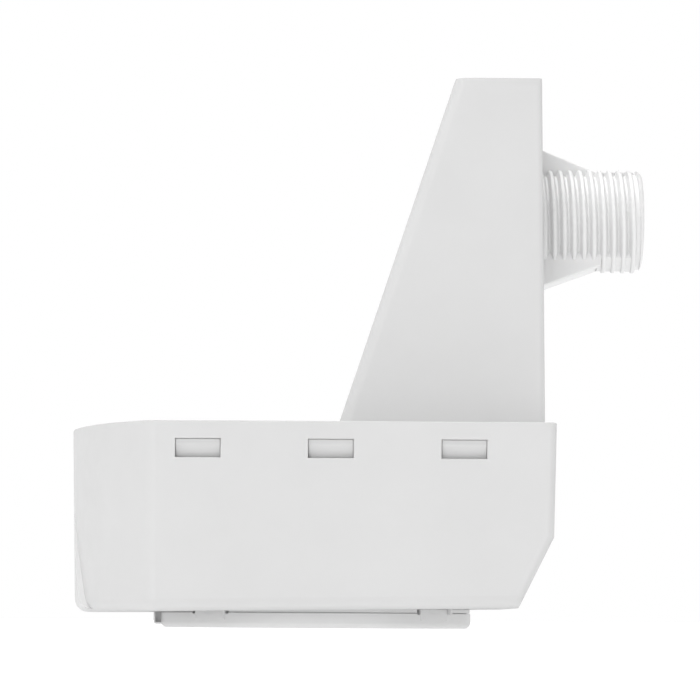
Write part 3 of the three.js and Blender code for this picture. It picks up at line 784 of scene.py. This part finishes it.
finish_surface(ring)
# Painted light: the ring's white is lighter than the shell's, to offset the shade under the
# housing.
ring.data.materials.append(RING_WHITE_PAINTED_LIGHT)
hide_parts("lens_ring")
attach(ring, "lens_cover")

# %% [markdown]
# ## The lens
# The lens is a thin milky disc that bulges slightly. Its surface is divided into cells, each of
# which throws its own patch of the room onto the detector. A filled circle is inset again and
# again, sinking a little each time, which lays out rings of faces. Neighbouring faces are then
# inset and raised together, so every cell is a real pillow with a groove around it.

# %% Rings of cells
LENS_TOP_Z = 1.55 * MM
LENS_RADII = [25.4, 23.6, 18.6, 13.4, 8.2, 3.6]
DOME_DEPTH = 0.95 * MM
bpy.ops.object.select_all(action="DESELECT")
bpy.ops.mesh.primitive_circle_add(
    vertices=64, radius=LENS_RADII[0] * MM, fill_type="NGON", location=(LENS_X, 0, LENS_TOP_Z)
)
lens = placed("fresnel_disc")
edit(lens)
bpy.ops.mesh.flip_normals()


def dome_z(radius):
    """The bulge's height at a radius. The outermost ring is a flat flange."""
    if radius >= 23:
        return LENS_TOP_Z
    return LENS_TOP_Z - DOME_DEPTH * (1 - (radius / LENS_RADII[1]) ** 2)


for before, after in zip(LENS_RADII, LENS_RADII[1:]):
    bpy.ops.mesh.inset(thickness=(before - after) * MM, depth=0)
    bpy.ops.transform.translate(value=(0, 0, dome_z(after) - dome_z(before)))


def ring_and_sector(face):
    centre = face.calc_center_median()
    flat = centre.xy - Vector((LENS_X, 0))
    sector = int((math.degrees(math.atan2(flat.y, flat.x)) % 360) // 11.25)
    for number, radius in enumerate(LENS_RADII[1:]):
        if flat.length > radius * MM:
            return number, sector
    return len(LENS_RADII), 0


CELLS_EVERY = {1: 1, 2: 1, 3: 2, 4: 4}
cells = 0
for number, span in CELLS_EVERY.items():
    for first in range(0, 32, span):
        wanted = {(number, sector) for sector in range(first, first + span)}
        cells += bool(pick(lens, "faces", lambda f: len(f.verts) == 4 and not f.tag
                           and ring_and_sector(f) in wanted))
        bpy.ops.mesh.inset(thickness=0.22 * MM, depth=0.14 * MM)
        mesh = bmesh.from_edit_mesh(lens.data)
        for face in mesh.faces:
            if not face.select and any(edge.select for edge in face.edges):
                face.tag = True
leave()
thick = lens.modifiers.new("thickness", "SOLIDIFY")
thick.thickness = 0.8 * MM
thick.offset = -1
only(lens)
bpy.ops.object.modifier_apply(modifier=thick.name)
print("lens cells:", cells)
finish_surface(lens, 20)

# %% The lens's milky finish
def milky(name, colour):
    """Polyethylene: light sinks in a little, and fine moulded grooves ring the middle."""
    material, tree, shader = new_material(name)
    tree.links.new(
        ramp(tree, noise(tree, 9 * MM, 3), tuple(c * 0.97 for c in colour), colour),
        shader.inputs["Base Color"],
    )
    shader.inputs["Roughness"].default_value = 0.38
    shader.inputs["Subsurface Weight"].default_value = 0.25
    shader.inputs["Subsurface Radius"].default_value = (0.002, 0.002, 0.0018)
    coordinates = tree.nodes.new("ShaderNodeTexCoord")
    mapping = tree.nodes.new("ShaderNodeMapping")
    mapping.inputs["Location"].default_value = (-LENS_X, 0, 0)
    grooves = tree.nodes.new("ShaderNodeTexWave")
    grooves.wave_type = "RINGS"
    grooves.rings_direction = "Z"
    grooves.inputs["Scale"].default_value = 0.05 / (0.45 * MM)
    tree.links.new(coordinates.outputs["Object"], mapping.inputs["Vector"])
    tree.links.new(mapping.outputs["Vector"], grooves.inputs["Vector"])
    bump(tree, shader, grooves.outputs["Fac"], 0.35, 0.05 * MM)
    return material


lens.data.materials.append(milky("milky_lens", (0.76, 0.76, 0.74)))
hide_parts("fresnel_lens")
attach(lens, "lens_cover")

# %% [markdown]
# ## What is inside
# The boards and their parts keep the frame's shapes, which already carry the real sizes. Their
# meshes are left alone: a Weld and a Bevel modifier soften the edges, and each finish is built
# from noise at its real scale.

# %% Finishes for the inner parts
def board_finish():
    """Solder mask: dark green, with slightly raised lighter tracks under it."""
    material, tree, shader = new_material("solder_mask")
    coordinates = tree.nodes.new("ShaderNodeTexCoord")
    tracks = tree.nodes.new("ShaderNodeTexBrick")
    tracks.inputs["Color1"].default_value = (0.015, 0.11, 0.045, 1)
    tracks.inputs["Color2"].default_value = (0.018, 0.13, 0.05, 1)
    tracks.inputs["Mortar"].default_value = (0.05, 0.26, 0.10, 1)
    tracks.inputs["Scale"].default_value = 1 / (12 * MM)
    tracks.inputs["Mortar Size"].default_value = 0.03
    tree.links.new(coordinates.outputs["Object"], tracks.inputs["Vector"])
    tree.links.new(tracks.outputs["Color"], shader.inputs["Base Color"])
    bump(tree, shader, tracks.outputs["Fac"], 0.3, 0.03 * MM)
    shader.inputs["Roughness"].default_value = 0.3
    return material


def metal(name, colour, rough=0.28, stretch=(1, 1, 12)):
    """Plated metal with fine drawn lines."""
    material, tree, shader = new_material(name)
    lines = noise(tree, 2 * MM, 3, stretch)
    darker = tuple(channel * 0.85 for channel in colour)
    tree.links.new(ramp(tree, lines, darker, colour), shader.inputs["Base Color"])
    shader.inputs["Metallic"].default_value = 1
    shader.inputs["Roughness"].default_value = rough
    bump(tree, shader, lines, 0.15, 0.02 * MM)
    return material


def winding_finish():
    """Enamelled wire, laid turn beside turn."""
    material, tree, shader = new_material("enamelled_wire")
    coordinates = tree.nodes.new("ShaderNodeTexCoord")
    turns = tree.nodes.new("ShaderNodeTexWave")
    turns.bands_direction = "Z"
    turns.inputs["Scale"].default_value = 0.05 / (0.25 * MM)
    turns.inputs["Distortion"].default_value = 0.4
    tree.links.new(coordinates.outputs["Object"], turns.inputs["Vector"])
    copper = ramp(tree, turns.outputs["Fac"], (0.30, 0.09, 0.03), (0.72, 0.32, 0.15), 0.1, 0.9)
    tree.links.new(copper, shader.inputs["Base Color"])
    shader.inputs["Metallic"].default_value = 1
    shader.inputs["Roughness"].default_value = 0.35
    bump(tree, shader, turns.outputs["Fac"], 0.6, 0.08 * MM)
    return material


INNER_FINISH = {
    "inner_white": moulded("plain_white", (0.72, 0.72, 0.70)),
    "board": board_finish(),
    "black_moulding": moulded("black_moulding", (0.03, 0.03, 0.032), drift=0.2),
    "dark_filter": moulded("dark_filter", (0.015, 0.012, 0.015), drift=0.3, rough=(0.1, 0.16)),
    "capacitor_sleeve": moulded(
        "capacitor_sleeve", (0.02, 0.02, 0.05), drift=0.2, rough=(0.2, 0.3)
    ),
    "blue_moulding": moulded("blue_moulding", (0.03, 0.12, 0.48), drift=0.15, rough=(0.25, 0.4)),
    "film_case": moulded("film_case", (0.66, 0.50, 0.07), drift=0.1, rough=(0.3, 0.4)),
    "red_moulding": moulded("red_moulding", (0.52, 0.04, 0.03), drift=0.12),
    "led_lens": moulded("led_lens", (0.60, 0.05, 0.04), drift=0.1, rough=(0.08, 0.14)),
    "clear_window": moulded("clear_window", (0.72, 0.62, 0.40), drift=0.2, rough=(0.1, 0.2)),
    "steel": metal("plated_steel", (0.62, 0.62, 0.63)),
    "brass": metal("tinned_brass", (0.72, 0.58, 0.32)),
    "copper": winding_finish(),
    "ferrite": moulded("ferrite", (0.05, 0.05, 0.055), drift=0.25, rough=(0.5, 0.65)),
}

# %% Dress every inner part
slot_of = {entry["node"]: entry["material_slot"] for entry in frame["record"]["subparts"]}
SHOWN_NEW = {"front_housing", "riser_cover", "wiring_nipple", "lens_ring", "fresnel_lens"}
for node, obj in frame["nodes"].items():
    if node in SHOWN_NEW:
        continue
    obj.data.materials.clear()
    obj.data.materials.append(INNER_FINISH[slot_of[node]])
    weld = obj.modifiers.new("weld", "WELD")
    weld.merge_threshold = 0.001 * MM
    soften = obj.modifiers.new("soften", "BEVEL")
    soften.width = 0.12 * MM
    soften.segments = 2
    soften.limit_method = "ANGLE"
    soften.angle_limit = math.radians(35)
print("inner parts dressed:", len(frame["nodes"]) - len(SHOWN_NEW))

# %% [markdown]
# ## The studio
# A white object on white needs very even light, or its edges drown in shadow. The world is
# white, brightest near the horizon, where it also gives the backdrop, and dimmer above. One
# broad lamp stands almost overhead, and a weak one shines low from the front. The floor is
# pale and gives off a little light of its own, like a light table, which fills the underside.

# %% Floor, world and lamps
bpy.ops.object.select_all(action="DESELECT")
bpy.ops.mesh.primitive_plane_add(size=8, location=(0, 0, -0.02 * MM))
floor = placed("studio_floor")
floor_material, floor_tree, floor_shader = new_material("pale_floor")
pale = ramp(floor_tree, noise(floor_tree, 0.4, 3), (0.48, 0.48, 0.48), (0.50, 0.50, 0.50))
floor_shader.inputs["Emission Color"].default_value = (1, 1, 1, 1)
floor_shader.inputs["Emission Strength"].default_value = 0.6
floor_tree.links.new(pale, floor_shader.inputs["Base Color"])
floor_shader.inputs["Roughness"].default_value = 0.8
floor.data.materials.append(floor_material)

world = bpy.data.worlds.new("white_studio")
bpy.context.scene.world = world
world.use_nodes = True
sky = world.node_tree
direction = sky.nodes.new("ShaderNodeTexCoord")
height = sky.nodes.new("ShaderNodeSeparateXYZ")
fade = sky.nodes.new("ShaderNodeMapRange")
fade.interpolation_type = "SMOOTHSTEP"
for socket, value in (("From Min", 0.2), ("From Max", 0.45), ("To Min", 1.0), ("To Max", 0.25)):
    fade.inputs[socket].default_value = value
sky.links.new(direction.outputs["Generated"], height.inputs["Vector"])
sky.links.new(height.outputs["Z"], fade.inputs["Value"])
sky.links.new(fade.outputs["Result"], sky.nodes["Background"].inputs["Strength"])
sky.nodes["Background"].inputs["Color"].default_value = (1, 1, 1, 1)


def broad_lamp(name, azimuth, elevation, spread, strength):
    """Light from one direction, spread over a wide patch of sky. Azimuth 0 is straight in front."""
    bpy.ops.object.select_all(action="DESELECT")
    turn, rise = math.radians(azimuth), math.radians(elevation)
    level = math.cos(rise)
    towards = Vector((math.sin(turn) * level, -math.cos(turn) * level, math.sin(rise)))
    bpy.ops.object.light_add(type="SUN", location=towards)
    lamp = bpy.context.object
    lamp.name = name
    lamp.data.angle = math.radians(spread)
    lamp.data.energy = strength
    lamp.rotation_euler = towards.to_track_quat("Z", "Y").to_euler()


broad_lamp("overhead_lamp", -40, 83, 60, 3.2)
broad_lamp("low_front_lamp", -22, 4, 30, 0.7)

# %% [markdown]
# ## The camera
# The camera stands square to the side, level with the lens ring, and is a little rolled. It
# stands far off and has a long lens, which keeps the sides straight.

# %% Camera
AIM = Vector((-1.6 * MM, 0, 54.4 * MM))
DISTANCE = 647 * MM
EYE_Z = 1.5 * MM
ROLL = math.radians(0.35)
bpy.ops.object.select_all(action="DESELECT")
eye = Vector((AIM.x, -DISTANCE, EYE_Z))
bpy.ops.object.camera_add(location=eye)
camera = bpy.context.object
camera.data.lens = 170
camera.data.sensor_width = 36
camera.data.clip_start = 0.01
look = (AIM - eye).to_track_quat("-Z", "Y")
camera.rotation_euler = (look @ Quaternion((0, 0, 1), ROLL)).to_euler()
bpy.context.scene.camera = camera
bpy.context.scene.view_settings.view_transform = "Standard"
print("camera distance in mm:", round((AIM - eye).length / MM))
